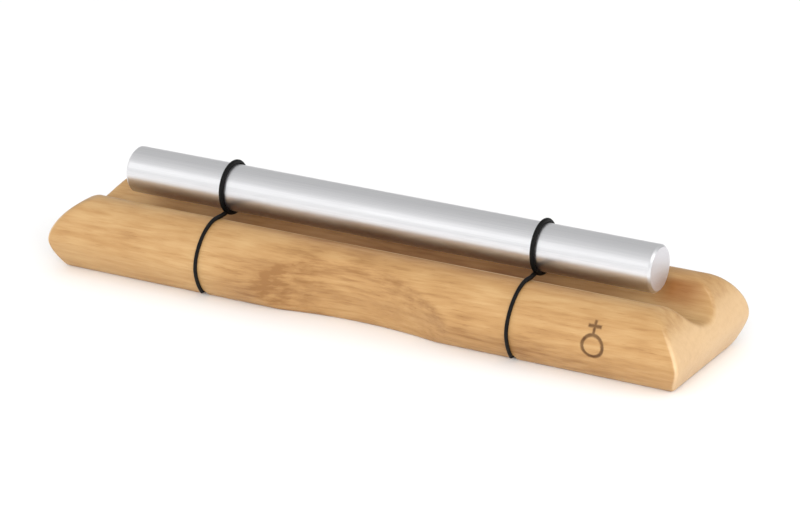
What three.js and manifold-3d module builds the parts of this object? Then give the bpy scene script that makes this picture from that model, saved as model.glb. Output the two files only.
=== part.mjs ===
import * as THREE from 'three';
import { mergeVertices } from 'three/addons/utils/BufferGeometryUtils.js';
import Module from 'manifold-3d';

const wasm = await Module();
wasm.setup();

// Wooden base, in millimetres: a flat foot, sides and ends that swell out, and a crest on each side
const footLength = 200;
const footWidth = 37;
const swellLength = 208;
const swellWidth = 50;
const sideSwellHeight = 10.6;
const endSwellHeight = 8.6;
const crestHeight = 22;
const crestLength = 184;
const crestSpacing = 29;

// Fullness of the curves: a higher value pulls a curve out toward its corner
const sideLowerFullness = 0.34;
const sideUpperFullness = 0.52;
const endLowerFullness = 0.27;
const endUpperFullness = 0.4;

// Round groove along the top of the base
const grooveRadius = 11;
const grooveFloorHeight = 14.4;
const lipDrop = 2.1;

// Finger hollow in the middle of each long side, deepest near the swell and run out below the crest
const hollowRadius = 115;
const hollowFootDepth = 2.8;
const hollowSwellDepth = 4.5;
const hollowTopHeight = 20;

// Solid metal rod
const rodLength = 173.6;
const rodDiameter = 14;
const rodChamfer = 0.7;
const clearUnderRod = 5.95;

// Two endless rubber rings: stretched thin over the base, thicker in the turn round the rod
const ringSpacing = 102.6;
const seatThickness = 1.2;
const spanThickness = 1.4;
const loopThickness = 1.5;
const loopPassGap = 0.5;
const restGap = 0.3;

// Clearances of a ring in its channel across the foot
const channelSideClearance = 0.5;
const channelFloorClearance = 0.7;

const curveSteps = 12;
const grooveSteps = 24;
const rodSides = 72;
const hollowSides = 360;
const ringSides = 8;

const solidOf = (geometry) => {
  const bare = geometry.index ? geometry.toNonIndexed() : geometry.clone();
  bare.deleteAttribute('normal');
  bare.deleteAttribute('uv');
  const merged = mergeVertices(bare, 1e-4);
  const corners = merged.index.array;
  const kept = [];
  for (let i = 0; i < corners.length; i += 3) {
    const [a, b, c] = [corners[i], corners[i + 1], corners[i + 2]];
    if (a !== b && b !== c && c !== a) {
      kept.push(a, b, c);
    }
  }
  return new wasm.Manifold(new wasm.Mesh({
    numProp: 3,
    vertProperties: new Float32Array(merged.attributes.position.array),
    triVerts: new Uint32Array(kept),
  }));
};

const geometryOf = (solid) => {
  const mesh = solid.getMesh();
  const geometry = new THREE.BufferGeometry();
  geometry.setAttribute('position', new THREE.BufferAttribute(mesh.vertProperties, 3));
  geometry.setIndex(new THREE.BufferAttribute(mesh.triVerts, 1));
  geometry.computeVertexNormals();
  return geometry;
};

// Half of an outline: from the foot out to the swell, then in and up to the crest
const halfOutline = (foot, swell, swellHeight, crest, lowerFullness, upperFullness) => {
  const outline = new THREE.Path();
  outline.moveTo(foot, 0);
  outline.bezierCurveTo(
    foot + lowerFullness * (swell - foot), 0,
    swell, swellHeight * (1 - lowerFullness),
    swell, swellHeight,
  );
  outline.bezierCurveTo(
    swell, swellHeight + upperFullness * (crestHeight - swellHeight),
    crest + upperFullness * (swell - crest), crestHeight,
    crest, crestHeight,
  );
  return outline.getPoints(curveSteps);
};

const mirrored = (points) => points.map((p) => new THREE.Vector2(-p.x, p.y)).reverse();

const sideOutline = halfOutline(
  footWidth / 2, swellWidth / 2, sideSwellHeight, crestSpacing / 2,
  sideLowerFullness, sideUpperFullness,
);
const endOutline = halfOutline(
  footLength / 2, swellLength / 2, endSwellHeight, crestLength / 2,
  endLowerFullness, endUpperFullness,
);

// The lip rolls from the crest into the groove along the tangent of the groove's arc
const grooveCentreHeight = grooveFloorHeight + grooveRadius;
const grooveLipAngle = Math.acos((grooveCentreHeight - crestHeight + lipDrop) / grooveRadius);
const groovePoint = (angle) => new THREE.Vector2(
  grooveRadius * Math.sin(angle),
  grooveCentreHeight - grooveRadius * Math.cos(angle),
);
const lipEnd = groovePoint(grooveLipAngle);
const lipCorner = new THREE.Vector2(
  lipEnd.x + (crestHeight - lipEnd.y) / Math.tan(grooveLipAngle),
  crestHeight,
);
const lip = new THREE.QuadraticBezierCurve(
  new THREE.Vector2(crestSpacing / 2, crestHeight), lipCorner, lipEnd,
).getPoints(curveSteps).slice(1);
const grooveArc = [];
for (let i = 1; i < grooveSteps; i += 1) {
  grooveArc.push(groovePoint(grooveLipAngle * (1 - 2 * i / grooveSteps)));
}

// Section across the base, drawn as width and height, and its long profile, drawn as length and height
const section = new THREE.Shape([
  ...sideOutline, ...lip, ...grooveArc, ...mirrored([...sideOutline, ...lip]),
]);
const profile = new THREE.Shape([...endOutline, ...mirrored(endOutline)]);

const sectionBody = new THREE.ExtrudeGeometry(section, { depth: swellLength + 20, bevelEnabled: false });
sectionBody.translate(0, 0, -(swellLength + 20) / 2);
sectionBody.applyMatrix4(new THREE.Matrix4().makeBasis(
  new THREE.Vector3(0, 1, 0), new THREE.Vector3(0, 0, 1), new THREE.Vector3(1, 0, 0),
));
const profileBody = new THREE.ExtrudeGeometry(profile, { depth: swellWidth + 20, bevelEnabled: false });
profileBody.translate(0, 0, -(swellWidth + 20) / 2);
profileBody.rotateX(Math.PI / 2);

// A wide round cutter on an upright axis; its depth goes from the foot by the swell to nothing at its top
const hollowAxis = footWidth / 2 - hollowFootDepth + hollowRadius;
const hollowDepth = (z) => {
  const fromSwell = sideSwellHeight - z;
  const fromTop = hollowTopHeight - z;
  const footShare = fromSwell * fromTop / (sideSwellHeight * hollowTopHeight);
  const swellShare = z * fromTop / (sideSwellHeight * (hollowTopHeight - sideSwellHeight));
  return hollowFootDepth * footShare + hollowSwellDepth * swellShare;
};
const hollowReach = (p) => new THREE.Vector2(hollowAxis - p.x + hollowDepth(p.y), p.y);
const hollowProfile = [
  new THREE.Vector2(0, -1), new THREE.Vector2(hollowRadius, -1),
  ...sideOutline.map(hollowReach), new THREE.Vector2(0, crestHeight),
];
const hollowCutter = new THREE.LatheGeometry(hollowProfile, hollowSides);
hollowCutter.rotateX(Math.PI / 2);
const hollow = solidOf(hollowCutter);

// Channel with a round roof, cut right across the foot
const channelWidth = seatThickness + 2 * channelSideClearance;
const channelDepth = channelFloorClearance + seatThickness + restGap;
const channelShape = new THREE.Shape();
channelShape.moveTo(-channelWidth / 2, -1);
channelShape.lineTo(channelWidth / 2, -1);
channelShape.lineTo(channelWidth / 2, channelDepth - channelWidth / 2);
channelShape.absarc(0, channelDepth - channelWidth / 2, channelWidth / 2, 0, Math.PI, false);
channelShape.lineTo(-channelWidth / 2, -1);
const channelCutter = new THREE.ExtrudeGeometry(
  channelShape, { depth: swellWidth + 20, bevelEnabled: false, curveSegments: 12 },
);
channelCutter.translate(0, 0, -(swellWidth + 20) / 2);
channelCutter.rotateX(Math.PI / 2);
const channel = solidOf(channelCutter);

const baseSolid = solidOf(sectionBody)
  .intersect(solidOf(profileBody))
  .subtract(hollow.translate([0, -hollowAxis, 0]))
  .subtract(hollow.translate([0, hollowAxis, 0]))
  .subtract(channel.translate([-ringSpacing / 2, 0, 0]))
  .subtract(channel.translate([ringSpacing / 2, 0, 0]));

// Rod turned about its own axis, with a small chamfer at each end
const rodRadius = rodDiameter / 2;
const rodAxisHeight = grooveFloorHeight + clearUnderRod + rodRadius;
const rodProfile = [
  new THREE.Vector2(0, -rodLength / 2),
  new THREE.Vector2(rodRadius - rodChamfer, -rodLength / 2),
  new THREE.Vector2(rodRadius, -rodLength / 2 + rodChamfer),
  new THREE.Vector2(rodRadius, rodLength / 2 - rodChamfer),
  new THREE.Vector2(rodRadius - rodChamfer, rodLength / 2),
  new THREE.Vector2(0, rodLength / 2),
];
const rodGeometry = new THREE.LatheGeometry(rodProfile, rodSides);
rodGeometry.rotateZ(-Math.PI / 2);
rodGeometry.translate(0, 0, rodAxisHeight);

// Route of a ring over the base, half of it: just off the side, over the crest and onto the lip
const seatOffset = seatThickness / 2 + restGap;
const wall = [...sideOutline, ...lip];
const offWall = wall.map((p, i) => {
  const along = wall[Math.min(i + 1, wall.length - 1)].clone().sub(wall[Math.max(i - 1, 0)]).normalize();
  return new THREE.Vector2(p.x + seatOffset * along.y, p.y - seatOffset * along.x);
});

// The turn round the rod, and the straight span that runs from the lip to touch it from below
const loopRadius = rodRadius + restGap + loopThickness / 2;
const touchAngle = (p) => {
  const across = Math.atan2(p.x, rodAxisHeight - p.y);
  return across - Math.acos(loopRadius / Math.hypot(p.x, rodAxisHeight - p.y));
};
const loopPoint = (angle) => new THREE.Vector2(
  loopRadius * Math.sin(angle),
  rodAxisHeight - loopRadius * Math.cos(angle),
);
const riseFromTouch = (p) => {
  const touch = loopPoint(touchAngle(p));
  return (p.y - touch.y) / (p.x - touch.x);
};
const onTop = offWall.filter((p) => p.y > crestHeight && p.x > lipEnd.x);
const leavePoint = onTop.reduce((best, p) => (riseFromTouch(p) > riseFromTouch(best) ? p : best));
const leaveAngle = touchAngle(leavePoint);
const touchPoint = loopPoint(leaveAngle);

// Under the foot the ring keeps its height in the channel
const seatInChannel = channelFloorClearance + seatThickness / 2;
const upTheWall = offWall.slice(0, offWall.indexOf(leavePoint) + 1);
const halfSeat = [
  new THREE.Vector2(footWidth / 4, seatInChannel),
  ...upTheWall.map((p) => new THREE.Vector2(p.x, Math.max(p.y, seatInChannel))),
];
const seatRoute = [...mirrored(halfSeat), ...halfSeat];

const tube = (points, thickness, steps) => {
  const ringSection = new THREE.Shape();
  ringSection.absarc(0, 0, thickness / 2, 0, 2 * Math.PI, false);
  const path = new THREE.CatmullRomCurve3(points, false, 'centripetal');
  return new THREE.ExtrudeGeometry(ringSection, {
    steps, curveSegments: ringSides / 2, bevelEnabled: false, extrudePath: path,
  });
};

const loopTurn = 2 * Math.PI + 2 * leaveAngle;
const loopPitch = (loopThickness + loopPassGap) * loopTurn / (2 * Math.PI);
const loopRoute = (x) => {
  const points = [];
  for (let i = 0; i <= 48; i += 1) {
    const share = i / 48;
    const p = loopPoint(-leaveAngle + share * loopTurn);
    points.push(new THREE.Vector3(x + loopPitch * (share - 0.5), p.x, p.y));
  }
  return points;
};

// Least gap between the two passes of a turn, over points at least a quarter turn apart
const leastGap = (points, thickness) => {
  const apart = Math.round(points.length / 4);
  let least = Infinity;
  points.forEach((p, i) => {
    points.slice(i + apart).forEach((q) => {
      least = Math.min(least, p.distanceTo(q) - thickness);
    });
  });
  return least;
};

const wood = () => new THREE.MeshStandardMaterial({ color: '#d1a46b', roughness: 0.55, metalness: 0 });
const metal = () => new THREE.MeshStandardMaterial({ color: '#c9c9cd', roughness: 0.3, metalness: 1 });
const rubber = () => new THREE.MeshStandardMaterial({ color: '#17171a', roughness: 0.6, metalness: 0 });

const chime = new THREE.Group();
chime.name = 'energy_chime';
const add = (name, geometry, material) => {
  const mesh = new THREE.Mesh(geometry, material);
  mesh.name = name;
  chime.add(mesh);
};

add('base_block', geometryOf(baseSolid), wood());
add('chime_rod', rodGeometry, metal());

for (const [side, x] of [['left', -ringSpacing / 2], ['right', ringSpacing / 2]]) {
  const seat = seatRoute.map((p) => new THREE.Vector3(x, p.x, p.y));
  add(`${side}_ring_seat`, tube(seat, seatThickness, 90), rubber());
  for (const [face, way] of [['front', -1], ['back', 1]]) {
    const leave = new THREE.Vector3(x, way * leavePoint.x, leavePoint.y);
    const touch = new THREE.Vector3(x + way * loopPitch / 2, way * touchPoint.x, touchPoint.y);
    const trim = touch.clone().sub(leave).setLength(restGap);
    const span = [leave.add(trim), touch.sub(trim)];
    add(`${side}_ring_${face}_span`, tube(span, spanThickness, 2), rubber());
  }
  const loop = loopRoute(x);
  const gap = leastGap(loop, loopThickness).toFixed(2);
  console.log(`${side} ring: least gap between the passes of its turn ${gap} mm`);
  add(`${side}_ring_loop`, tube(loop, loopThickness, 40), rubber());
}

export default chime;
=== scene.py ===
from math import acos, atan2, cos, hypot, pi, radians, sin, sqrt, tan

import bmesh
import bpy
import numpy as np
from mathutils import Matrix, Vector
from mathutils.geometry import delaunay_2d_cdt


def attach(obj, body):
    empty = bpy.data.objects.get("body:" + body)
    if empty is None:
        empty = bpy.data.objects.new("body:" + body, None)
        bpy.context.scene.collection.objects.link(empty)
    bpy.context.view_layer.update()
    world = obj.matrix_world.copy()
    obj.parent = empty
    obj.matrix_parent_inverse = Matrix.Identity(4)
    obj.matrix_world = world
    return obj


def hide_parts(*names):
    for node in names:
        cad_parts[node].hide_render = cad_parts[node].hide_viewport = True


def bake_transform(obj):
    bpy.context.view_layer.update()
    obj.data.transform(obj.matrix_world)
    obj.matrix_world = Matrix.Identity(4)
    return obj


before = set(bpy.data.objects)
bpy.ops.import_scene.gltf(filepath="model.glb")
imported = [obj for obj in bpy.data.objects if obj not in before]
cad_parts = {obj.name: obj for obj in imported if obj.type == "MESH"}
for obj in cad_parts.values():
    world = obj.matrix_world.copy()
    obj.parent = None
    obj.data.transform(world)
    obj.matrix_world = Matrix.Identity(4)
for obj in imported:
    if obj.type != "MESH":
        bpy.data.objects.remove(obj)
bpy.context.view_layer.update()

scene = bpy.context.scene
mm = 0.001  # sizes below are in millimetres, meshes in metres

# sizes that more than one piece uses
ringSpacing = 102.6
barDiameter = 14
barHeight = 27.35  # the bar's axis above the table


def addObject(name, data):
    made = bpy.data.objects.new(name, data)
    scene.collection.objects.link(made)
    return made


# camera, at the photograph's view
photoView = {
    "azimuth": 29.27,
    "elevation": 21.139,
    "roll": -0.119,
    "distance": 998.76,
    "target": (3.709, 0, 12.749),
    "lens": 154.37,
    "sensor": 36,
    "clip": (0.05, 20),  # metres
}


def placeCamera(view):
    azimuth, elevation, roll = (radians(view[k]) for k in ("azimuth", "elevation", "roll"))
    back = Vector((sin(azimuth) * cos(elevation), -cos(azimuth) * cos(elevation), sin(elevation)))
    right = Vector((cos(azimuth), sin(azimuth), 0))
    up = back.cross(right)
    right, up = right * cos(roll) + up * sin(roll), up * cos(roll) - right * sin(roll)
    data = bpy.data.cameras.new("photoCamera")
    data.lens = view["lens"]
    data.sensor_width = view["sensor"]
    data.clip_start, data.clip_end = view["clip"]
    place = Matrix((right, up, back)).transposed().to_4x4()
    place.translation = (Vector(view["target"]) + back * view["distance"]) * mm
    scene.camera = addObject("photoCamera", data)
    scene.camera.matrix_world = place


placeCamera(photoView)
print("camera set")


# helpers for node trees, used by shaders and geometry alike
def feed(tree, node, inputs):
    for key, value in inputs.items():
        if isinstance(value, bpy.types.NodeSocket):
            tree.links.new(value, node.inputs[key])
        else:
            node.inputs[key].default_value = value


def put(tree, kind, inputs=None, **settings):
    node = tree.nodes.new(kind)
    for key, value in settings.items():
        setattr(node, key, value)
    feed(tree, node, inputs or {})
    return node


def calc(tree, operation, *values):
    return put(tree, "ShaderNodeMath", dict(enumerate(values)), operation=operation).outputs[0]


def vectorCalc(tree, operation, *values):
    node = put(tree, "ShaderNodeVectorMath", dict(enumerate(values)), operation=operation)
    return node.outputs["Value" if operation in ("LENGTH", "DOT_PRODUCT") else "Vector"]


def remap(tree, value, low, high, toLow=0.0, toHigh=1.0):
    node = put(tree, "ShaderNodeMapRange", {0: value, 1: low, 2: high, 3: toLow, 4: toHigh},
               interpolation_type="SMOOTHSTEP")
    return node.outputs[0]


def mixColour(tree, share, first, second, blend="MIX"):
    node = put(tree, "ShaderNodeMix", data_type="RGBA", blend_type=blend)
    feed(tree, node, {0: share, 6: first, 7: second})
    return node.outputs[2]


def noise(tree, place, scale, detail):
    return put(tree, "ShaderNodeTexNoise", {"Vector": place, "Scale": scale, "Detail": detail}).outputs[0]


def readMark(tree, name):
    return put(tree, "ShaderNodeAttribute", attribute_name=name).outputs["Fac"]


def addBump(tree, shader, height, strength, distance):
    bump = put(tree, "ShaderNodeBump", {"Strength": strength, "Distance": distance, "Height": height})
    tree.links.new(bump.outputs[0], shader.inputs["Normal"])


def newGroup(kind, name, inputs, outputs):
    tree = bpy.data.node_groups.new(name, kind)
    for socket, socketType, value in inputs:
        made = tree.interface.new_socket(socket, in_out="INPUT", socket_type=socketType)
        if value is not None:
            made.default_value = value
    for socket, socketType in outputs:
        tree.interface.new_socket(socket, in_out="OUTPUT", socket_type=socketType)
    return tree, tree.nodes.new("NodeGroupInput").outputs, tree.nodes.new("NodeGroupOutput")


def useGroup(tree, group, inputs):
    node = put(tree, "ShaderNodeGroup", node_tree=group)
    feed(tree, node, inputs)
    return node.outputs[0]


# long streaks that run with the grain of the wood or the drawn lines of the bar
def makeStreaks():
    tree, given, result = newGroup("ShaderNodeTree", "lengthwiseStreaks", [
        ("Vector", "NodeSocketVector", None), ("Along", "NodeSocketFloat", 0.02),
        ("Across", "NodeSocketFloat", 1.5), ("Shift", "NodeSocketFloat", 0.0),
        ("Detail", "NodeSocketFloat", 3.0),
        ("From", "NodeSocketFloat", 0.35), ("To", "NodeSocketFloat", 0.65),
    ], [("Mask", "NodeSocketFloat")])
    stretch = put(tree, "ShaderNodeCombineXYZ",
                  {0: given["Along"], 1: given["Across"], 2: given["Across"]}).outputs[0]
    placed = vectorCalc(tree, "MULTIPLY", given["Vector"], stretch)
    placed = vectorCalc(tree, "ADD", placed, given["Shift"])
    uneven = put(tree, "ShaderNodeTexNoise", {"Vector": placed, "Scale": 1.0, "Detail": given["Detail"],
                                              "Roughness": 0.55}).outputs[0]
    tree.links.new(remap(tree, uneven, given["From"], given["To"]), result.inputs["Mask"])
    return tree


# uneven sheen where hands have held and wiped a surface
def makeHandling(fineScale=1.7, fineShare=0.4):
    tree, given, result = newGroup("ShaderNodeTree", "handledSheen", [
        ("Vector", "NodeSocketVector", None), ("Patch", "NodeSocketFloat", 0.08),
        ("Middle", "NodeSocketFloat", 0.5), ("Spread", "NodeSocketFloat", 0.1),
    ], [("Roughness", "NodeSocketFloat")])
    wide = noise(tree, given["Vector"], given["Patch"], 3.0)
    fine = noise(tree, given["Vector"], fineScale, 2.0)
    both = calc(tree, "MULTIPLY_ADD", fine, fineShare, wide)
    centred = calc(tree, "SUBTRACT", both, 0.5 + 0.5 * fineShare)
    uneven = calc(tree, "MULTIPLY", centred, given["Spread"])
    tree.links.new(calc(tree, "ADD", uneven, given["Middle"]), result.inputs["Roughness"])
    return tree


streaks, handling = makeStreaks(), makeHandling()


def newMaterial(name):
    material = bpy.data.materials.new(name)
    material.use_nodes = True
    tree = material.node_tree
    place = put(tree, "ShaderNodeTexCoord").outputs["Object"]
    inMillimetres = vectorCalc(tree, "MULTIPLY", place, (1 / mm, 1 / mm, 1 / mm))
    return material, tree, tree.nodes["Principled BSDF"], inMillimetres


# traditional Earth sign, a ring with a cross on it, burned into the front of the base
earthSign = {
    "centre": (78.2, 11.35),  # along the base and up
    "ring": 3.1,
    "stroke": 0.84,
    "crossStroke": 0.7,
    "barTop": 18.1,
    "crossHeight": 16.75,
    "crossReach": 1.95,
    "depth": 0.16,
    "slope": 0.24,  # width of the sunk edge
    "margin": 1.2,  # fine rows of the mesh reach this far past the ring
    "face": 16,  # the outer wall lies further out than this
    "fray": 0.3, "frayScale": 2.2,  # ragged edge
    "scorch": (-0.2, 0.34),  # distance from the edge, from full colour to none
    "heat": (0.35, 0.65, 0.8, 1.0), "heatScale": 0.3,  # uneven burning, least and most
    "strength": 0.92,
    "dullness": 0.25,
}


def signSizes(sign):
    half, thin = sign["stroke"] / 2, sign["crossStroke"] / 2
    low = sign["centre"][1] + sign["ring"]
    barMiddle, barHalf = (low + sign["barTop"]) / 2, (sign["barTop"] - low) / 2 - thin
    return half, thin, barMiddle, barHalf


# how far a point of the front lies outside the strokes
def signDistance(x, z, sign):
    half, thin, barMiddle, barHalf = signSizes(sign)
    across, up = x - sign["centre"][0], z - sign["centre"][1]
    ring = abs(hypot(across, up) - sign["ring"])
    bar = max(abs(across), abs(z - barMiddle) - barHalf)
    cross = max(abs(across) - sign["crossReach"] + thin, abs(z - sign["crossHeight"]))
    return min(ring - half, min(bar, cross) - thin)


# the same in nodes, with a scorched edge
def signMask(tree, place, sign):
    half, thin, barMiddle, barHalf = signSizes(sign)
    x, y, z = put(tree, "ShaderNodeSeparateXYZ", {0: place}).outputs
    across = calc(tree, "SUBTRACT", x, sign["centre"][0])
    up = calc(tree, "SUBTRACT", z, sign["centre"][1])
    squares = calc(tree, "ADD", calc(tree, "POWER", across, 2.0), calc(tree, "POWER", up, 2.0))
    ring = calc(tree, "ABSOLUTE", calc(tree, "SUBTRACT", calc(tree, "SQRT", squares), sign["ring"]))
    side = calc(tree, "ABSOLUTE", across)
    fromBar = calc(tree, "ABSOLUTE", calc(tree, "SUBTRACT", z, barMiddle))
    bar = calc(tree, "MAXIMUM", side, calc(tree, "SUBTRACT", fromBar, barHalf))
    fromCross = calc(tree, "ABSOLUTE", calc(tree, "SUBTRACT", z, sign["crossHeight"]))
    cross = calc(tree, "MAXIMUM", calc(tree, "SUBTRACT", side, sign["crossReach"] - thin), fromCross)
    barAndCross = calc(tree, "SUBTRACT", calc(tree, "MINIMUM", bar, cross), thin)
    nearest = calc(tree, "MINIMUM", calc(tree, "SUBTRACT", ring, half), barAndCross)
    ragged = calc(tree, "SUBTRACT", noise(tree, place, sign["frayScale"], 2.0), 0.5)
    edge = calc(tree, "MULTIPLY_ADD", ragged, sign["fray"], nearest)
    burned = remap(tree, edge, *sign["scorch"], 1.0, 0.0)
    heat = remap(tree, noise(tree, place, sign["heatScale"], 1.0), *sign["heat"])
    onFront = calc(tree, "LESS_THAN", y, -sign["face"])
    return calc(tree, "MULTIPLY", calc(tree, "MULTIPLY", burned, heat), onFront)


# oiled hardwood: growth layers, fibres and pores run along the base, a solid figure cut by every face
woodFinish = {
    "light": (0.485, 0.3, 0.128, 1),
    "middle": (0.405, 0.226, 0.083, 1),
    "dark": (0.262, 0.124, 0.036, 1),
    "stops": (0.05, 0.45, 1.0),  # depths at which these three stand
    "burned": (0.055, 0.016, 0.0, 1),
    # paler end faces: partly end grain, partly painted light
    "litEndGrain": (0.66, 0.46, 0.26, 1),
    "endShare": 0.6,
    "shadeUnderBar": (0.63, 0.44, 0.3, 1),  # painted shade of the bar over the groove, its lips and crests
    # painted highlight on rounded corners and the groove's front lip
    "paintedEdgeHighlight": (0.8, 0.6, 0.38, 1),
    "highlightCloud": (0.3, 0.6, 0.2, 0.6),  # painted highlight, stronger where the wood is cloudy
    "tilt": (0, 0.9, -1.5),  # of the grain against the base, degrees
    "drift": (0.012, 0.05, 0.05),  # how fast the layers wander along and across
    "sway": 8,  # and how far
    "pith": (0, 14, -52),
    "layer": 2.9,
    "lateRise": (0.25, 0.85), "lateEnd": (0.86, 1.0),  # late wood within a layer
    "fibre": {"Along": 0.04, "Across": 0.5, "From": 0.25, "To": 0.75},
    "fleck": {"Along": 0.1, "Across": 0.75, "Shift": 17.0, "From": 0.3, "To": 0.75},
    "fine": {"Along": 0.09, "Across": 3.2, "Shift": 7.3, "From": 0.3, "To": 0.7},
    "pores": {"Along": 0.17, "Across": 3.0, "Shift": 31.0, "Detail": 2.0, "From": 0.6, "To": 0.72},
    "speck": (0.22, 0.45, 0.45),  # short marks where the grain is cut through
    "mottle": (0.25, 0.7, 0.15, 1.0),
    "cloud": 0.05,
    "figureFleck": (0.75, 1.25),  # flecks break up the figure
    "depth": {  # how much each of them darkens the wood
        "late": 0.1, "fibre": 0.22, "fleck": 0.3, "fine": 0.1, "cloud": 0.9, "mottle": 0.42, "pores": 0.22,
    },
    "sheen": {"Patch": 0.07, "Middle": 0.46, "Spread": 0.22},
    "dullPores": 0.12,
    "height": {"fine": 0.35, "fibre": 0.25, "pores": 0.7},
    "bump": (0.35, 0.00012),  # strength, and distance in metres
    "gloss": 0.45,
}


def makeWood(finish, sign):
    material, tree, shader, place = newMaterial("oiledWood")
    tilt = [radians(turn) for turn in finish["tilt"]]
    grain = put(tree, "ShaderNodeMapping", {"Vector": place, "Rotation": tilt}).outputs[0]
    slow = vectorCalc(tree, "MULTIPLY", grain, finish["drift"])
    drift = put(tree, "ShaderNodeTexNoise", {"Vector": slow, "Scale": 1.0, "Detail": 2.0}).outputs["Color"]
    sway = finish["sway"]
    swayed = vectorCalc(tree, "MULTIPLY_ADD", drift, (0, sway, sway), (0, -sway / 2, -sway / 2))
    figure = vectorCalc(tree, "ADD", grain, swayed)

    # growth layers round the pith, then what runs along them
    fromPith = vectorCalc(tree, "MULTIPLY", vectorCalc(tree, "SUBTRACT", figure, finish["pith"]), (0, 1, 1))
    layer = calc(tree, "FRACT", calc(tree, "DIVIDE", vectorCalc(tree, "LENGTH", fromPith), finish["layer"]))
    late = calc(tree, "MULTIPLY", remap(tree, layer, *finish["lateRise"]),
                remap(tree, layer, *finish["lateEnd"], 1.0, 0.0))
    fibre, fleck = (useGroup(tree, streaks, {"Vector": figure, **finish[k]}) for k in ("fibre", "fleck"))
    fine, pores = (useGroup(tree, streaks, {"Vector": grain, **finish[k]}) for k in ("fine", "pores"))
    cloud = noise(tree, grain, finish["cloud"], 2.0)
    speck = noise(tree, vectorCalc(tree, "MULTIPLY", grain, finish["speck"]), 1.0, 3.0)
    mottle = calc(tree, "MULTIPLY", readMark(tree, "runout"), remap(tree, speck, *finish["mottle"]))
    marks = {"late": late, "fibre": fibre, "fleck": fleck, "fine": fine,
             "cloud": calc(tree, "SUBTRACT", cloud, 0.5), "mottle": mottle, "pores": pores}
    depth = 0.0
    for mark, value in marks.items():
        depth = calc(tree, "MULTIPLY_ADD", value, finish["depth"][mark], depth)
    broken = remap(tree, fleck, 0.0, 1.0, *finish["figureFleck"])
    # darker and paler patches, the darker partly painted shade
    patchTone = calc(tree, "MULTIPLY", readMark(tree, "figure"), broken)
    ramp = put(tree, "ShaderNodeValToRGB", {0: calc(tree, "ADD", depth, patchTone)})
    stops = ramp.color_ramp.elements
    stops[0].color, stops[1].color = finish["light"], finish["dark"]
    stops[0].position, middle, stops[1].position = finish["stops"]
    stops.new(middle).color = finish["middle"]

    # end grain with painted light, painted shade under the bar, painted highlight on corners and the lip, and
    # the burned sign, one over the other
    litEndCut = calc(tree, "MULTIPLY", readMark(tree, "litEndCut"), finish["endShare"])
    colour = mixColour(tree, litEndCut, ramp.outputs[0], finish["litEndGrain"])
    # painted shade of the bar on the groove and the crests
    colour = mixColour(tree, readMark(tree, "paintedShade"), colour, finish["shadeUnderBar"], "MULTIPLY")
    # painted highlight on the end corners and the groove's front lip
    litEdges = calc(tree, "MULTIPLY", readMark(tree, "paintedHighlight"), remap(tree, cloud, *finish["highlightCloud"]))
    colour = mixColour(tree, litEdges, colour, finish["paintedEdgeHighlight"])
    burned = signMask(tree, place, sign)
    colour = mixColour(tree, calc(tree, "MULTIPLY", burned, sign["strength"]), colour, finish["burned"])
    tree.links.new(colour, shader.inputs["Base Color"])

    sheen = useGroup(tree, handling, {"Vector": place, **finish["sheen"]})
    sheen = calc(tree, "MULTIPLY_ADD", pores, finish["dullPores"], sheen)
    sheen = calc(tree, "MULTIPLY_ADD", burned, sign["dullness"], sheen)
    tree.links.new(sheen, shader.inputs["Roughness"])
    tall = finish["height"]
    height = calc(tree, "MULTIPLY_ADD", fine, tall["fine"], calc(tree, "MULTIPLY", fibre, tall["fibre"]))
    height = calc(tree, "SUBTRACT", height, calc(tree, "MULTIPLY", pores, tall["pores"]))
    addBump(tree, shader, height, *finish["bump"])
    shader.inputs["Specular IOR Level"].default_value = finish["gloss"]
    return material


# satin bar: drawn lines along it, turning marks and painted shade on its ends
barFinish = {
    "colour": (0.86, 0.86, 0.87, 1),
    "shade": (0.76, 0.76, 0.78, 1),
    # painted shade: the turned ends darker, standing in for the darker room they mirror
    "shadedTurnedEnd": (0.68, 0.67, 0.7, 1),
    "endFace": 86.75,  # further out than this the bar is turned, not drawn
    "lines": {"Along": 0.012, "Across": 3.5, "From": 0.25, "To": 0.75},
    "hair": {"Along": 0.05, "Across": 11.0, "Shift": 5.0, "From": 0.25, "To": 0.75},
    "turning": 6.0,
    "turnedShare": (0.3, 0.7, 0.6, 1.0),
    "sheen": {"Patch": 0.05, "Middle": 0.33, "Spread": 0.12},
    "dullMarks": 0.08,
    "dullEnd": 0.08,
    "bump": (0.18, 0.00004),
}


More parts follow.
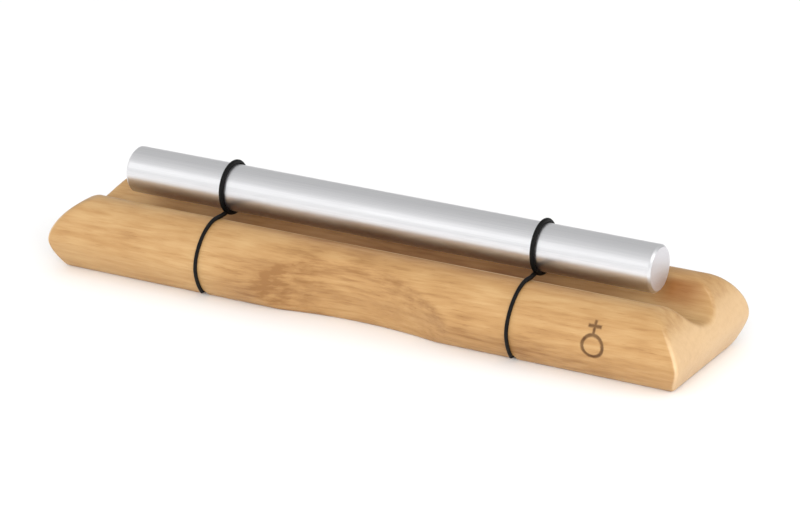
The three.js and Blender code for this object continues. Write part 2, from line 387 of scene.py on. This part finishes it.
def makeMetal(finish):
    material, tree, shader, place = newMaterial("satinBar")
    fromAxis = vectorCalc(tree, "SUBTRACT", place, (0, 0, barHeight))
    lines, hair = (useGroup(tree, streaks, {"Vector": fromAxis, **finish[k]}) for k in ("lines", "hair"))
    along = put(tree, "ShaderNodeSeparateXYZ", {0: place}).outputs[0]
    onEnd = calc(tree, "GREATER_THAN", calc(tree, "ABSOLUTE", along), finish["endFace"])
    out = vectorCalc(tree, "LENGTH", vectorCalc(tree, "MULTIPLY", fromAxis, (0, 1, 1)))
    turned = put(tree, "ShaderNodeTexNoise", {"W": out, "Scale": finish["turning"], "Detail": 3.0},
                 noise_dimensions="1D").outputs[0]
    marks = calc(tree, "ADD", calc(tree, "MULTIPLY", lines, 0.5), calc(tree, "MULTIPLY", hair, 0.5))
    sides = calc(tree, "MULTIPLY", marks, calc(tree, "SUBTRACT", 1.0, onEnd))
    worked = calc(tree, "MULTIPLY_ADD", turned, onEnd, sides)
    drawn = mixColour(tree, worked, finish["colour"], finish["shade"])
    # painted shade on the turned ends
    endShade = calc(tree, "MULTIPLY", onEnd, remap(tree, turned, *finish["turnedShare"]))
    tree.links.new(mixColour(tree, endShade, drawn, finish["shadedTurnedEnd"]), shader.inputs["Base Color"])
    sheen = useGroup(tree, handling, {"Vector": place, **finish["sheen"]})
    sheen = calc(tree, "MULTIPLY_ADD", worked, finish["dullMarks"], sheen)
    sheen = calc(tree, "MULTIPLY_ADD", onEnd, finish["dullEnd"], sheen)
    tree.links.new(sheen, shader.inputs["Roughness"])
    addBump(tree, shader, worked, *finish["bump"])
    shader.inputs["Metallic"].default_value = 1.0
    return material


# black rubber cord, matt, with a trace of dust
rubberFinish = {
    "colour": (0.003, 0.003, 0.003, 1),
    "dust": (0.010, 0.009, 0.008, 1),
    "speck": 1.4,
    "dusty": (0.5, 0.8),
    "skin": 5.0,
    "sheen": {"Patch": 0.3, "Middle": 0.55, "Spread": 0.2},
    "bump": (0.25, 0.00005),
    "gloss": 0.18,
}


def makeRubber(finish):
    material, tree, shader, place = newMaterial("blackRubber")
    dust = remap(tree, noise(tree, place, finish["speck"], 4.0), *finish["dusty"])
    tree.links.new(mixColour(tree, dust, finish["colour"], finish["dust"]), shader.inputs["Base Color"])
    sheen = useGroup(tree, handling, {"Vector": place, **finish["sheen"]})
    tree.links.new(sheen, shader.inputs["Roughness"])
    addBump(tree, shader, noise(tree, place, finish["skin"], 3.0), *finish["bump"])
    shader.inputs["Specular IOR Level"].default_value = finish["gloss"]
    return material


wood, metal, rubber = makeWood(woodFinish, earthSign), makeMetal(barFinish), makeRubber(rubberFinish)
print("materials made")


# wooden base: one section along the length, ends run out by a long profile, hollows and channels worked in
woodenBase = {
    "footLength": 200, "footWidth": 37,
    "swellLength": 208, "swellWidth": 50,
    "sideSwellHeight": 10.6, "endSwellHeight": 8.6,
    "crestHeight": 22, "crestLength": 184, "crestSpacing": 29,
    "sideFullness": (0.34, 0.52), "endFullness": (0.27, 0.4),
    "grooveRadius": 11, "grooveFloor": 14.4, "lipDrop": 2.1,
    "hollowRadius": 115, "hollowFootDepth": 2.8, "hollowSwellDepth": 4.5, "hollowTop": 20,
    "hollowSoftness": 0.3,  # how far the rim of a hollow is sanded over
    "channelSpacing": ringSpacing, "channelWidth": 2.2, "channelDepth": 2.2,
    "cornerRadius": 1.5, "grooveEndRadius": 1.3, "footRadius": 0.7,
    "footBand": 1.5,  # up to here an end is rounded as little as its foot
    "radiusPasses": 12,  # smooths the change from one radius to the next
    "footPoints": 15, "lipPoints": 80, "groovePoints": 160,
    "frontStep": 0.3, "backStep": 0.8, "lipStep": 0.5, "grooveStep": 0.75,
    "rowStep": 1.6, "signStep": 0.3, "signClear": 0.2,
    "straightEnd": 4,  # even rows stop this far short of the crest's ends
    "channelRows": (0.3, 0.55, 0.8, 0.97),  # from the middle of a channel
    "channelEdgeRows": (-0.012, 0, 0.4),  # from its edge
    "channelClear": 0.9,
    "runOutRows": 8, "cornerRows": 5,
    "endStep": (1.6, 1.2), "endLow": 0.5, "endClear": 0.9,
    "crease": 50,
}


def bezier(points, steps):
    t = np.linspace(0, 1, steps)[:, None]
    a, b, c, d = (np.array(p, float) for p in points)
    return (1 - t) ** 3 * a + 3 * t * (1 - t) ** 2 * b + 3 * t * t * (1 - t) * c + t ** 3 * d


def halfOutline(foot, swell, swellHeight, crest, crestHeight, fullness, steps=400):
    lower, upper = fullness
    rise = bezier([(foot, 0), (foot + lower * (swell - foot), 0),
                   (swell, swellHeight * (1 - lower)), (swell, swellHeight)], steps)
    roll = bezier([(swell, swellHeight), (swell, swellHeight + upper * (crestHeight - swellHeight)),
                   (crest + upper * (swell - crest), crestHeight), (crest, crestHeight)], steps)
    return np.vstack([rise, roll[1:]])


def lengthsAlong(points):
    return np.r_[0, np.cumsum(np.linalg.norm(np.diff(points, axis=0), axis=1))]


def pointsAt(spots, lengths, points):
    return np.stack([np.interp(spots, lengths, points[:, i]) for i in range(points.shape[1])], axis=1)


def evenly(points, step):
    lengths = lengthsAlong(points)
    count = max(3, int(round(lengths[-1] / step)) + 1)
    return pointsAt(np.linspace(0, lengths[-1], count), lengths, points)


def outward(along):
    along = along / np.linalg.norm(along, axis=1)[:, None]
    return np.stack([along[:, 1], -along[:, 0]], axis=1)


def reachAt(height, outline):
    return np.interp(height, outline[:, 1], outline[:, 0])


def baseCurves(size):
    side = halfOutline(size["footWidth"] / 2, size["swellWidth"] / 2, size["sideSwellHeight"],
                       size["crestSpacing"] / 2, size["crestHeight"], size["sideFullness"])
    end = halfOutline(size["footLength"] / 2, size["swellLength"] / 2, size["endSwellHeight"],
                      size["crestLength"] / 2, size["crestHeight"], size["endFullness"])
    radius = size["grooveRadius"]
    middle = size["grooveFloor"] + radius
    angle = acos((middle - size["crestHeight"] + size["lipDrop"]) / radius)
    lipEnd = np.array((radius * sin(angle), middle - radius * cos(angle)))
    crest = np.array((size["crestSpacing"] / 2, size["crestHeight"]))
    corner = np.array((lipEnd[0] + (crest[1] - lipEnd[1]) / tan(angle), crest[1]))
    t = np.linspace(0, 1, size["lipPoints"])[:, None]
    lip = (1 - t) ** 2 * crest + 2 * t * (1 - t) * corner + t * t * lipEnd
    turn = np.linspace(angle, -angle, size["groovePoints"])
    groove = np.stack([radius * np.sin(turn), middle - radius * np.cos(turn)], axis=1)
    return {"side": side, "end": end, "lip": lip, "groove": groove}


def hollowDepth(z, size):
    swell, top = size["sideSwellHeight"], size["hollowTop"]
    foot = size["hollowFootDepth"] * (swell - z) * (top - z) / (swell * top)
    return foot + size["hollowSwellDepth"] * z * (top - z) / (swell * (top - swell))


def sideReach(x, wall, z, size):
    axis = size["footWidth"] / 2 - size["hollowFootDepth"] + size["hollowRadius"]
    radius = axis - wall + hollowDepth(z, size)
    if radius <= abs(x):
        return wall
    cut = axis - sqrt(radius * radius - x * x)
    soft = size["hollowSoftness"]
    overlap = max(soft - abs(cut - wall), 0) / soft
    return min(cut, wall) - overlap * overlap * soft / 4  # a smooth lesser of the two


def channelRoof(x, size):
    half = size["channelWidth"] / 2
    off = abs(abs(x) - size["channelSpacing"] / 2)
    return size["channelDepth"] - half + sqrt(half * half - off * off) if off < half else 0.0


# places of the rows along the base, closer together at the channels and the sign
def crossRows(size, sign):
    edge = size["crestLength"] / 2 - size["straightEnd"]
    rows = list(np.linspace(-edge, edge, int(2 * edge / size["rowStep"])))
    half = size["channelWidth"] / 2
    offsets = [*size["channelRows"], *(half + past for past in size["channelEdgeRows"])]
    for middle in (-size["channelSpacing"] / 2, size["channelSpacing"] / 2):
        rows = [x for x in rows if abs(x - middle) > half + size["channelClear"]]
        for off in offsets:
            rows += [middle - off, middle + off]
        rows.append(middle)
    low = sign["centre"][0] - sign["ring"] - sign["margin"]
    high = sign["centre"][0] + sign["ring"] + sign["margin"]
    rows = [x for x in rows if not low - size["signClear"] < x < high + size["signClear"]]
    return sorted(rows + list(np.arange(low, high, size["signStep"])))


# the section as one loop of points, each with its outward direction and the rounding it gets at the ends
def baseSection(curves, size):
    foot = np.linspace(-size["footWidth"] / 2, size["footWidth"] / 2, size["footPoints"])[1:-1]
    back, front = (evenly(curves["side"], size[step]) for step in ("backStep", "frontStep"))
    lip = evenly(curves["lip"], size["lipStep"])[1:]
    dip = evenly(curves["groove"], size["grooveStep"])[1:-1]
    mirror = np.array((-1, 1))
    runs = [("foot", np.stack([foot, foot * 0], axis=1)), ("wall", back), ("lip", lip), ("groove", dip),
            ("lip", (lip * mirror)[::-1]), ("wall", (front * mirror)[::-1])]
    loop = np.vstack([run for kind, run in runs])
    kinds = [kind for kind, run in runs for point in run]
    normals = outward(np.roll(loop, -1, axis=0) - np.roll(loop, 1, axis=0))
    rounding = {"foot": size["footRadius"], "wall": size["cornerRadius"],
                "lip": size["cornerRadius"], "groove": size["grooveEndRadius"]}
    radii = np.array([rounding[kind] for kind in kinds])
    radii[loop[:, 1] < size["footBand"]] = size["footRadius"]
    for again in range(size["radiusPasses"]):
        radii = (np.roll(radii, 1) + radii + np.roll(radii, -1)) / 3
    return loop, kinds, normals, radii


# one row across the base, with the hollows, the channels and the sign worked in
def middleRow(x, loop, kinds, normals, side, size, sign):
    roof, footHalf = channelRoof(x, size), size["footWidth"] / 2
    row = []
    for (y, z), (ny, nz), kind in zip(loop, normals, kinds):
        if kind == "foot":
            y, z = y / footHalf * sideReach(x, footHalf, 0, size), max(z, roof)
        elif kind == "wall":
            if z < roof:
                y, z = np.sign(y) * reachAt(roof, side), roof
            y = np.sign(y) * sideReach(x, abs(y), z, size)
            if y < 0:
                inside = sign["slope"] / 2 - signDistance(x, z, sign)
                sunk = min(max(inside, 0) / sign["slope"], 1) * sign["depth"]
                y, z = y - ny * sunk, z - nz * sunk
        row.append((x, y, z))
    return row


# rows that run out to an end and turn in over its rounded edge, for the right end
def endRows(edge, loop, normals, radii, end, size):
    start = reachAt(loop[:, 1], end) - radii
    rows = [np.column_stack([edge + (start - edge) * share, loop])
            for share in np.linspace(0, 1, size["runOutRows"] + 1)[1:]]
    for turn in np.linspace(0, pi / 2, size["cornerRows"] + 1)[1:]:
        inset = loop - normals * (radii * (1 - cos(turn)))[:, None]
        out = reachAt(np.clip(inset[:, 1], 0, size["crestHeight"]), end) - radii * (1 - sin(turn))
        rows.append(np.column_stack([out, inset]))
    return rows


# an end face: the last row's outline filled over points that lie on the end's own curve
def fillEnd(points, first, count, way, end, size):
    outline = [Vector((p.y / mm, p.z / mm)) for p in points[first:first + count]]
    acrossStep, upStep = size["endStep"]
    inner = []
    for y in np.arange(-size["swellWidth"] / 2, size["swellWidth"] / 2, acrossStep):
        for z in np.arange(size["endLow"], size["crestHeight"], upStep):
            spot = Vector((y, z))
            inside = sum((a.y > z) != (b.y > z) and y < (b.x - a.x) * (z - a.y) / (b.y - a.y) + a.x
                         for a, b in zip(outline, outline[1:] + outline[:1])) % 2
            if inside and min((spot - p).length for p in outline) > size["endClear"]:
                inner.append(spot)
    rim = [(i, (i + 1) % count) for i in range(count)]
    filled = delaunay_2d_cdt(outline + inner, rim, [], 1, 1e-6)  # its points come first, its faces third
    numbers = list(range(first, first + count))
    for spot in filled[0][count:]:
        numbers.append(len(points))
        points.append(Vector((way * float(reachAt(spot.y, end)), spot.x, spot.y)) * mm)
    return [tuple(numbers[i] for i in corners) for corners in filled[2]]


# how the cut of the grain shows on the wood, with painted shade, painted highlight and painted light: along
# and across the base and up
woodMarksAndLight = {
    "runoutSlant": (0.02, 0.22),  # a hollow cuts through the grain where it leans
    "runoutReach": 45,
    "runoutLeft": 1.35,
    "runoutRight": 0.4,  # at the foot, growing to full strength
    "runoutHeight": (4, 11),
    # paler end faces, partly painted light, fading out near the top
    "endSlant": (0.45, 0.8), "endHeight": (20.5, 15.5),
    "shadeShares": (0.55, 0.45),  # painted shade of the bar, over the groove with its lips and crests, and along its floor
    "shadeReach": ((-45, -20, 72, 88), (13, 19, 19, 13)),  # along, and how far across
    "shadeFade": 6,
    "shadeFloor": (8, 4),
    "shadeHeight": (10, 14), "shadeSlant": (0.6, 0.3),
    "shadeEnds": (92, 77),  # the painted shade fades out round the bar's ends
    "shadeBack": (0.7, 6),  # less painted shade up the back wall
    "shadeBackLeast": ((35, 75), (0.75, 0.3)),
    "shadeRight": ((58, 70, 84), (1, 0.75, 0.1)),
    "lipAcross": ((8.2, 9.6, 12.2, 13), (0, 1, 1, 0)),  # the front lip of the groove
    "lipAlong": ((-70, 40, 84, 92), (0.2, 1, 1, 0)),  # painted highlight on the lip, more to the right
    "lipHeight": 17,
    # how much of the painted shade the lip loses
    "lipShadeLift": 0.8,
    "barEndShadowAlong": ((80, 86, 92, 99), (0, 1, 0.8, 0)),  # painted shadow of the bar's end on the back wall at the right end
    "barEndShadowAcross": ((3, 8, 9.5, 11.5), (0, 1, 1, 0)),
    "barEndShadowHeight": 12,
    "edgeSlant": (0.6, 0.3), "edgeSide": (0.3, 0.5),  # painted highlight on the corners between the sides and the ends
    "figure": [  # darker and paler places, the darker partly painted shade: along, up, half length, half height, strength
        (-8, 18.8, 24, 4, 0.36), (-5, 9, 8, 7, 0.24), (-33, 6.5, 10, 7, 0.5), (36, 9, 6, 7, 0.24),
        (24, 9, 6, 4.5, -0.25), (62, 5, 21, 4.5, 0.46), (-90, 5, 15, 8, -0.34), (-34, 19.5, 6, 2.5, -0.4),
    ],
}


def fade(values, start, end):
    return np.clip((values - start) / (end - start), 0, 1)


def markWood(mesh, marksAndLight):
    along, across, high = (np.array([v.co[i] for v in mesh.vertices]) / mm for i in range(3))
    slant, sideways = (np.array([abs(n.vector[i]) for n in mesh.vertex_normals]) for i in range(2))
    away, off = abs(along), abs(across)

    runout = fade(slant, *marksAndLight["runoutSlant"]) * (away < marksAndLight["runoutReach"])
    rightward = marksAndLight["runoutRight"] + (1 - marksAndLight["runoutRight"]) * fade(high, *marksAndLight["runoutHeight"])
    runout *= np.where(along > 0, rightward, marksAndLight["runoutLeft"])
    litEndCut = fade(slant, *marksAndLight["endSlant"]) * fade(high, *marksAndLight["endHeight"])

    # painted shade of the bar over the groove, its lips, crests and floor, less up the back wall and towards
    # the right end
    wide, low = marksAndLight["shadeShares"]
    shadeMark = wide * np.clip((np.interp(along, *marksAndLight["shadeReach"]) - off) / marksAndLight["shadeFade"], 0, 1)
    shadeMark += low * fade(off, *marksAndLight["shadeFloor"])
    shadeMark *= fade(high, *marksAndLight["shadeHeight"]) * fade(slant, *marksAndLight["shadeSlant"]) * fade(away, *marksAndLight["shadeEnds"])
    middle, slope = marksAndLight["shadeBack"]
    shadeMark *= np.clip(middle - across / slope, np.interp(away, *marksAndLight["shadeBackLeast"]), 1)
    shadeMark *= np.interp(along, *marksAndLight["shadeRight"])
    # painted highlight on the groove's front lip, which takes the painted shade off it
    lip = np.interp(-across, *marksAndLight["lipAcross"]) * np.interp(along, *marksAndLight["lipAlong"])
    lip *= high > marksAndLight["lipHeight"]
    shadeMark *= 1 - marksAndLight["lipShadeLift"] * lip
    # painted shadow of the bar's right end on the groove's back wall
    barEndShadow = np.interp(along, *marksAndLight["barEndShadowAlong"]) * np.interp(across, *marksAndLight["barEndShadowAcross"])
    shadeMark = np.maximum(shadeMark, barEndShadow * (high > marksAndLight["barEndShadowHeight"]))

    # painted highlight on the rounded corners between the sides and the ends
    middle, spread = marksAndLight["edgeSlant"]
    corner = np.clip(1 - abs(slant - middle) / spread, 0, 1) * fade(sideways, *marksAndLight["edgeSide"])
    facing = along * -np.sign(across)  # the back has the front's patches turned round
    # darker and paler patches; the darker are partly painted shade
    figure = sum(strength * np.exp(-((facing - x) / length) ** 2 - ((high - z) / height) ** 2)
                 for x, z, length, height, strength in marksAndLight["figure"])
    marks = {"runout": runout, "litEndCut": litEndCut, "paintedShade": shadeMark, "paintedHighlight": np.maximum(corner, lip),
             "figure": figure}
    for name, values in marks.items():
        mesh.attributes.new(name, "FLOAT", "POINT").data.foreach_set("value", values.astype(np.float32))


def makeBase(size, sign, marksAndLight):
    curves = baseCurves(size)
    loop, kinds, normals, radii = baseSection(curves, size)
    places = crossRows(size, sign)
    outer = endRows(places[-1], loop, normals, radii, curves["end"], size)
    rows = [row * np.array((-1, 1, 1)) for row in outer[::-1]]
    rows += [middleRow(x, loop, kinds, normals, curves["side"], size, sign) for x in places]
    rows += outer
    points = [Vector(point) * mm for row in rows for point in row]
    count, last = len(loop), len(rows) - 1
    faces = []
    for k in range(last):
        for i in range(count):
            j = (i + 1) % count
            faces.append((k * count + i, k * count + j, (k + 1) * count + j, (k + 1) * count + i))
    for way, row in ((-1, 0), (1, last)):
        faces += fillEnd(points, row * count, count, way, curves["end"], size)

    mesh = bpy.data.meshes.new("woodenBase")
    mesh.from_pydata(points, [], faces)
    work = bmesh.new()
    work.from_mesh(mesh)
    bmesh.ops.remove_doubles(work, verts=work.verts, dist=1e-7)
    bmesh.ops.recalc_face_normals(work, faces=work.faces)
    work.to_mesh(mesh)
    work.free()
    mesh.shade_smooth()
    mesh.set_sharp_from_angle(angle=radians(size["crease"]))
    markWood(mesh, marksAndLight)
    mesh.materials.append(wood)
    return addObject("woodenBase", mesh)


base = makeBase(woodenBase, earthSign, woodMarksAndLight)
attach(base, "base")
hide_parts("base_block")
print("base made,", len(base.data.polygons), "faces")


# a geometry nodes tree evaluated into a plain mesh
def grow(name, tree, sizes, source=None, crease=28):
    maker = addObject(name + "Maker", source or bpy.data.meshes.new(name + "Source"))
    modifier = maker.modifiers.new("build", "NODES")
    modifier.node_group = tree
    for item in tree.interface.items_tree:
        if item.item_type == "SOCKET" and item.in_out == "INPUT" and item.name in sizes:
            modifier[item.identifier] = sizes[item.name]
    bpy.context.view_layer.update()
    ready = maker.evaluated_get(bpy.context.evaluated_depsgraph_get())
    mesh = bpy.data.meshes.new_from_object(ready)
    maker.modifiers.remove(modifier)
    bpy.data.objects.remove(maker)
    mesh.name = name
    mesh.shade_smooth()
    mesh.set_sharp_from_angle(angle=radians(crease))
    return addObject(name, mesh)


# the end of such a tree: a circle swept along a curve, as wide as reach says at each point
def sweep(tree, curve, reach, given, result):
    circle = put(tree, "GeometryNodeCurvePrimitiveCircle", {"Resolution": given["Sides"], "Radius": 1.0})
    swept = put(tree, "GeometryNodeCurveToMesh", {"Curve": curve, "Profile Curve": circle.outputs[0],
                                                  "Scale": reach, "Fill Caps": True})
    real = put(tree, "GeometryNodeRealizeInstances", {"Geometry": swept.outputs[0]})
    done = put(tree, "GeometryNodeSetMaterial", {"Geometry": real.outputs[0], "Material": given["Finish"]})
    tree.links.new(done.outputs[0], result.inputs["Geometry"])


# turned bar: a line whose points crowd at both ends, swept with a circle that narrows over the chamfer
turnedBar = {
    "Length": 173.6 * mm,
    "Diameter": barDiameter * mm,
    "Chamfer": 0.7 * mm,
    "Softness": 0.12 * mm,
    "Axis Height": barHeight * mm,
    "Steps": 220,
    "Sides": 128,
    "Finish": metal,
}


def makeBarTree():
    tree, given, result = newGroup("GeometryNodeTree", "turnedBar", [
        ("Length", "NodeSocketFloat", 0.1), ("Diameter", "NodeSocketFloat", 0.01),
        ("Chamfer", "NodeSocketFloat", 0.001), ("Softness", "NodeSocketFloat", 0.0001),
        ("Axis Height", "NodeSocketFloat", 0.0), ("Steps", "NodeSocketInt", 64),
        ("Sides", "NodeSocketInt", 64), ("Finish", "NodeSocketMaterial", None),
    ], [("Geometry", "NodeSocketGeometry")])
    line = put(tree, "GeometryNodeCurvePrimitiveLine", {"Start": (0, 0, 0), "End": (1, 0, 0)})
    line = put(tree, "GeometryNodeResampleCurve", {"Curve": line.outputs[0], "Count": given["Steps"]})
    share = put(tree, "GeometryNodeSplineParameter").outputs["Factor"]
    half = calc(tree, "MULTIPLY", given["Length"], 0.5)
    along = calc(tree, "MULTIPLY", calc(tree, "COSINE", calc(tree, "MULTIPLY", share, pi)), half)
    along = calc(tree, "MULTIPLY", along, -1.0)
    place = put(tree, "ShaderNodeCombineXYZ", {0: along, 1: 0.0, 2: given["Axis Height"]}).outputs[0]
    fromEnd = calc(tree, "SUBTRACT", half, calc(tree, "ABSOLUTE", along))
    full = calc(tree, "MULTIPLY", given["Diameter"], 0.5)
    cone = calc(tree, "ADD", calc(tree, "SUBTRACT", full, given["Chamfer"]), fromEnd)
    reach = calc(tree, "SMOOTH_MIN", full, cone, given["Softness"])
    kept = put(tree, "GeometryNodeCaptureAttribute", {"Geometry": line.outputs[0]}, domain="POINT")
    kept.capture_items.new("FLOAT", "reach")
    tree.links.new(reach, kept.inputs["reach"])
    laid = put(tree, "GeometryNodeSetPosition", {"Geometry": kept.outputs["Geometry"], "Position": place})
    sweep(tree, laid.outputs[0], kept.outputs["reach"], given, result)
    return tree


bar = grow("toneBar", makeBarTree(), turnedBar)
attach(bar, "rod")
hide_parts("chime_rod")
print("bar made,", len(bar.data.polygons), "faces")


# rubber rings: a path over the base and once round the bar, swept with a circle as thick as the cord is there
rubberRings = {
    "spacing": ringSpacing,
    "faceThickness": 1.1,
    "lipThickness": 1.35,
    "turnThickness": 1.38,
    "thickerFrom": 0.62,  # share of the way up the base
    "bedding": 0.05,  # how far the cord presses into what it lies on
    "passPitch": 1.6,  # sideways step of the turn round the bar
    "pitchBend": 2.6,  # most of that step is on the way up the back
    "crestLean": 1.15,  # the cord drifts to the right on its way up the base
    "footLean": 0.2,  # share of that drift at the foot
    "turnLean": (-2.0, -1.5),  # and hangs to the left where it goes round the bar, left ring and right
    "barRadius": barDiameter / 2,
    "barHeight": barHeight,
    "lipReach": 2,  # the cord leaves the base at most this far inside the groove's edge
    "wallStep": 0.15,
    "turnPoints": 240,
    "step": 0.3,
    "softening": (9, 3.5),  # steps to each side, and spread, of the soft change of direction
    "sides": 20,
}


def ringPaths(size, block, middle, lean):
    curves = baseCurves(block)
    side, lip = (evenly(curves[k], size["wallStep"]) for k in ("side", "lip"))
    wall = np.vstack([side, lip[1:]])
    out = outward(np.gradient(wall, axis=0))
    reach = size["barRadius"] + size["turnThickness"] / 2 - size["bedding"]
    height = size["barHeight"]

    def touchAngle(p):
        return atan2(p[0], height - p[1]) - acos(reach / hypot(p[0], height - p[1]))

    def rise(p):
        angle = touchAngle(p)
        return (p[1] - height + reach * cos(angle)) / (p[0] - reach * sin(angle))

    # the cord leaves the base where its way to the bar is steepest
    near = wall + out * (size["lipThickness"] / 2 - size["bedding"])
    onTop = (near[:, 1] > block["crestHeight"]) & (near[:, 0] > block["grooveRadius"] - size["lipReach"])
    leave = int(max(np.flatnonzero(onTop), key=lambda i: rise(near[i])))
    angle = touchAngle(near[leave])

    # thickness grows from the stretched face to the lip
    up = np.linspace(0, 1, leave + 1)
    swell = np.clip((up - size["thickerFrom"]) / (1 - size["thickerFrom"]), 0, 1) ** 2
    thickness = size["faceThickness"] + (size["lipThickness"] - size["faceThickness"]) * swell
    seat = wall[:leave + 1] + out[:leave + 1] * (thickness / 2 - size["bedding"])[:, None]
    bed = block["channelDepth"] - size["faceThickness"] / 2 + size["bedding"]
    seat[:, 1] = np.maximum(seat[:, 1], bed)
    first = max(int(np.argmax(seat[:, 1] > bed)) - 1, 0)
    seat = np.vstack([[(0, bed)], seat[first:]])
    thickness = np.r_[size["faceThickness"], thickness[first:]]

    count = size["turnPoints"]
    turn = np.linspace(-angle, 2 * pi + angle, count)
    step = size["passPitch"] * (0.5 - np.linspace(1, 0, count) ** size["pitchBend"])
    loop = np.stack([middle + lean + step, reach * np.sin(turn), height - reach * np.cos(turn)], axis=1)
    drift = middle + size["crestLean"] * np.clip(seat[:, 1] / block["crestHeight"], size["footLean"], 1)
    frontSeat = np.stack([drift, -seat[:, 0], seat[:, 1]], axis=1)
    backSeat = frontSeat[::-1] * np.array((1, -1, 1))
    whole = np.vstack([frontSeat, loop, backSeat])
    wide = np.r_[thickness, np.full(count, size["turnThickness"]), thickness[::-1]]
    ends = [len(frontSeat) - 1, len(frontSeat), len(frontSeat) + count - 1, len(frontSeat) + count]

    # even steps, and a soft change of direction where the cord leaves the lip and meets the bar
    lengths = lengthsAlong(whole)
    spots = np.unique(np.r_[np.arange(0, lengths[-1], size["step"]), lengths[-1], lengths[ends]])
    path, wide = pointsAt(spots, lengths, whole), np.interp(spots, lengths, wide)
    past, spread = size["softening"]
    blur = np.exp(-0.5 * (np.arange(-past, past + 1) / spread) ** 2)
    blur /= blur.sum()
    path[:, 0], wide = (np.convolve(np.pad(values, past, mode="edge"), blur, mode="valid")
                        for values in (path[:, 0], wide))
    frontLip, onBar, offBar, backLip = (int(np.argmin(abs(spots - lengths[i]))) for i in ends)
    return {
        "frontSpan": [row[frontLip:onBar + 1] for row in (path, wide)],
        "loop": [row[onBar:offBar + 1] for row in (path, wide)],
        "backSpan": [row[offBar:backLip + 1][::-1] for row in (path, wide)],
        "seat": [np.concatenate([row[backLip:], row[1:frontLip + 1]]) for row in (path, wide)],
    }


def makeCordTree():
    tree, given, result = newGroup("GeometryNodeTree", "rubberCord", [
        ("Geometry", "NodeSocketGeometry", None), ("Sides", "NodeSocketInt", 16),
        ("Finish", "NodeSocketMaterial", None),
    ], [("Geometry", "NodeSocketGeometry")])
    path = put(tree, "GeometryNodeMeshToCurve", {"Mesh": given["Geometry"]}).outputs[0]
    half = put(tree, "GeometryNodeInputNamedAttribute", {"Name": "halfThickness"}, data_type="FLOAT")
    sweep(tree, path, half.outputs[0], given, result)
    return tree


cordTree = makeCordTree()


def makeCord(name, path, thickness):
    line = bpy.data.meshes.new(name + "Path")
    line.from_pydata([Vector(p) * mm for p in path], [(i, i + 1) for i in range(len(path) - 1)], [])
    line.attributes.new("halfThickness", "FLOAT", "POINT").data.foreach_set(
        "value", (thickness * 0.5 * mm).astype(np.float32))
    piece = grow(name, cordTree, {"Sides": rubberRings["sides"], "Finish": rubber}, line)
    return piece


for ring, way, lean in zip(("left", "right"), (-0.5, 0.5), rubberRings["turnLean"]):
    parts = ringPaths(rubberRings, woodenBase, way * rubberRings["spacing"], lean)
    seat = makeCord(ring + "RingSeat", *parts["seat"])
    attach(seat, "base")
    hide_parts(ring + "_ring_seat")
    loop = makeCord(ring + "RingLoop", *parts["loop"])
    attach(loop, "turns")
    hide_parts(ring + "_ring_loop")
    for face in ("front", "back"):
        path, thickness = parts[face + "Span"]
        span = makeCord(ring + "Ring" + face.capitalize() + "Span", path, thickness)
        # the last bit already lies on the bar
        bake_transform(span)
        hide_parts(ring + "_ring_" + face + "_span")
    print(ring, "ring made")


# stage: pale floor, a room that is brighter in front, lamps in front and at the right
studio = {
    "floor": (0.93, 0.93, 0.93, 1),
    "floorRoughness": 0.8,
    "floorHalf": 3,  # metres
    "floorLevel": -2e-5,
    "mirrored": (0.88, 0.57),  # what the bar shows of the room, in front and behind
    "mirroredSpan": (-1.0, 0.45),
    "light": (0.8, 1.2),  # what the room throws on the pieces, from behind and from in front
    "lightFrom": (0, -0.94, -0.34),
    "lampsAim": (0, 0, 0.01),
    "lamps": [  # name, place, width, height, power, seen in the bar
        ("key", (0.5, -0.92, 0.46), 1.0, 0.4, 8.9, False),
        ("front", (-0.55, -0.94, 0.6), 0.9, 0.5, 0.72, True),
        ("right", (1.05, 0.2, 0.45), 0.6, 0.4, 2.2, True),
    ],
}


def makeFloor(setup):
    half, level = setup["floorHalf"], setup["floorLevel"]
    corners = [(-half, -half, level), (half, -half, level), (half, half, level), (-half, half, level)]
    mesh = bpy.data.meshes.new("floor")
    mesh.from_pydata(corners, [], [(0, 1, 2, 3)])
    paper = bpy.data.materials.new("paleFloor")
    paper.use_nodes = True
    surface = paper.node_tree.nodes["Principled BSDF"].inputs
    surface["Base Color"].default_value = setup["floor"]
    surface["Roughness"].default_value = setup["floorRoughness"]
    mesh.materials.append(paper)
    return addObject("floor", mesh)


def makeRoom(setup):
    world = bpy.data.worlds.new("studio")
    world.use_nodes = True
    room = world.node_tree
    looking = put(room, "ShaderNodeTexCoord").outputs["Generated"]
    toward = put(room, "ShaderNodeSeparateXYZ", {0: looking}).outputs[1]
    mirrored = remap(room, toward, *setup["mirroredSpan"], *setup["mirrored"])
    ahead = vectorCalc(room, "DOT_PRODUCT", looking, setup["lightFrom"])
    light = remap(room, ahead, -1.0, 1.0, *setup["light"])
    inGloss = put(room, "ShaderNodeLightPath").outputs["Is Glossy Ray"]
    glow = put(room, "ShaderNodeMix", {0: inGloss, 2: light, 3: mirrored}, data_type="FLOAT").outputs[0]
    feed(room, room.nodes["Background"], {"Color": (1, 1, 1, 1), "Strength": glow})
    scene.world = world


def hangLamps(setup):
    for name, place, width, height, power, seen in setup["lamps"]:
        data = bpy.data.lights.new(name, "AREA")
        data.shape, data.size, data.size_y, data.energy = "RECTANGLE", width, height, power
        lamp = addObject(name, data)
        lamp.location = place
        aim = Vector(setup["lampsAim"]) - Vector(place)
        lamp.rotation_euler = aim.to_track_quat("-Z", "Y").to_euler()
        lamp.visible_glossy = seen


floor = makeFloor(studio)
makeRoom(studio)
hangLamps(studio)
scene.view_settings.view_transform = "Standard"
print("stage set")
